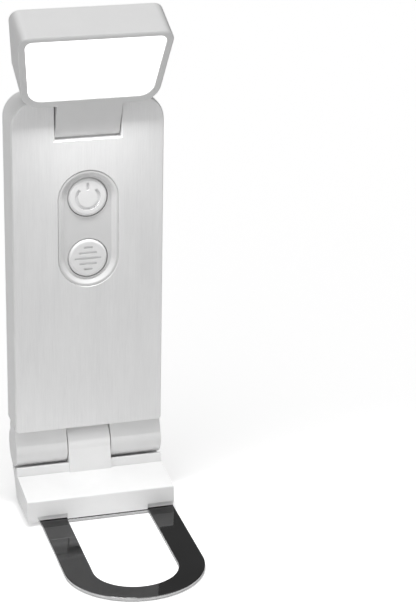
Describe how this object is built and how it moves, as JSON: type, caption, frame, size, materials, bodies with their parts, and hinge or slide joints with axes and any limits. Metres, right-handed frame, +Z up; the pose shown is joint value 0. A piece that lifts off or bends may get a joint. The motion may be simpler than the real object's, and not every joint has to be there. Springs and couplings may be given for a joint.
{
  "type": "clip-on book light",
  "caption": "Folding clip-on book light: flat body with a brushed plate and round push buttons, a tilting lit head and a sprung steel loop that clips to pages.",
  "frame": {"origin": "on the surface it stands on, at the middle of the footprint of the whole light", "axes": "+Z up along the lamp body, -Y to the front, the side with the brushed plate and the buttons; X across the width, along all the hinge axes"},
  "size_m": [0.045, 0.0796, 0.1528],
  "materials": {
    "casing": "smooth white",
    "frame": "smooth white",
    "plate": "brushed",
    "bezel": "satin",
    "button": "satin",
    "head": "smooth white",
    "cover": "smooth white",
    "diffuser": "translucent white",
    "guide": "clear",
    "reflector": "white film",
    "board": "solder resist",
    "chip": "phosphor",
    "cell": "foil",
    "lead": "insulated wire",
    "shell_metal": "plated",
    "switch": "black",
    "steel": "turned",
    "loop": "polished",
    "bush": "natural nylon",
    "rubber": "soft",
    "foot": "smooth white"
  },
  "bodies": {
    "clip_base": {"foot_housing": "foot", "foot_cover": "cover", "grip_pads": "rubber", "rear_feet": "rubber", "hinge_pin": "steel", "jaw_pin": "steel", "jaw_spring": "steel"},
    "clip_loop": {"u_loop": "loop"},
    "lamp_body": {"rear_casing": "casing", "front_frame": "frame", "front_plate": "plate", "button_bezel": "bezel", "main_board": "board", "battery": "cell", "battery_leads": "lead", "usb_socket": "shell_metal", "power_switch": "switch", "dimmer_switch": "switch", "casing_screws": "steel", "head_pin": "steel", "power_spring": "steel", "dimmer_spring": "steel"},
    "power_button": {"power_button": "button"},
    "dimmer_button": {"dimmer_button": "button"},
    "lamp_head": {"head_shell": "head", "head_cover": "cover", "head_screws": "steel", "diffuser": "diffuser", "light_guide": "guide", "reflector": "reflector", "led_board": "board", "led_chips": "chip", "neck_bushes": "bush", "head_lead": "lead"}
  },
  "joints": [
    {"name": "body_tilt", "type": "hinge", "parent": "clip_base", "child": "lamp_body", "pos_m": [0, 0.03218, 0.0162], "axis": [1, 0, 0], "range_deg": [-30, 88]},
    {"name": "head_tilt", "type": "hinge", "parent": "lamp_body", "child": "lamp_head", "pos_m": [0, 0.03375, 0.1189], "axis": [1, 0, 0], "range_deg": [-22, 40]},
    {"name": "power_press", "type": "slide", "parent": "lamp_body", "child": "power_button", "axis": [0, 1, 0], "range_m": [0, 0.0005], "stiffness_N_per_m": 600, "springref_m": -0.0008, "deforming": ["power_spring"]},
    {"name": "dimmer_press", "type": "slide", "parent": "lamp_body", "child": "dimmer_button", "axis": [0, 1, 0], "range_m": [0, 0.0005], "stiffness_N_per_m": 600, "springref_m": -0.0008, "deforming": ["dimmer_spring"]},
    {"name": "jaw_open", "type": "hinge", "parent": "clip_base", "child": "clip_loop", "pos_m": [0, 0.02568, 0.0049], "axis": [1, 0, 0], "range_deg": [0, 22], "stiffness_Nm_per_rad": 0.12, "springref_deg": -28.65, "deforming": ["jaw_spring"]}
  ]
}
